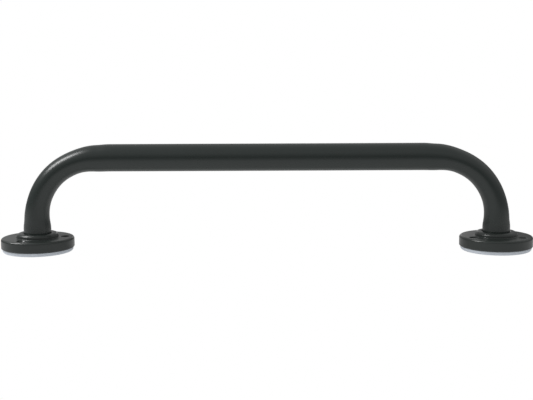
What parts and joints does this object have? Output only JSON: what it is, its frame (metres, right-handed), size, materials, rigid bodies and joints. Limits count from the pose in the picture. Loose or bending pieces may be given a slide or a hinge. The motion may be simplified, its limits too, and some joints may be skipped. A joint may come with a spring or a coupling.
{
  "type": "grab bar",
  "caption": "Black bent-tube grab bar on round screw flanges with countersunk holes and soft light grey pads at their backs.",
  "frame": {"origin": "halfway between the two flange axes, on the wall plane under the pads", "axes": "+X along the bar, +Z away from the wall, towards the grip"},
  "size_m": [0.5, 0.068, 0.1009],
  "materials": {
    "black_paint": "matt powder coat",
    "grey_pad": "soft matt rubber",
    "bare_steel": "zinc-plated steel"
  },
  "bodies": {
    "root": {"grip_tube": "black_paint", "left_flange": "black_paint", "right_flange": "black_paint", "left_pad": "grey_pad", "right_pad": "grey_pad", "left_plug": "bare_steel", "right_plug": "bare_steel", "left_screw": "bare_steel", "right_screw": "bare_steel"}
  },
  "joints": []
}
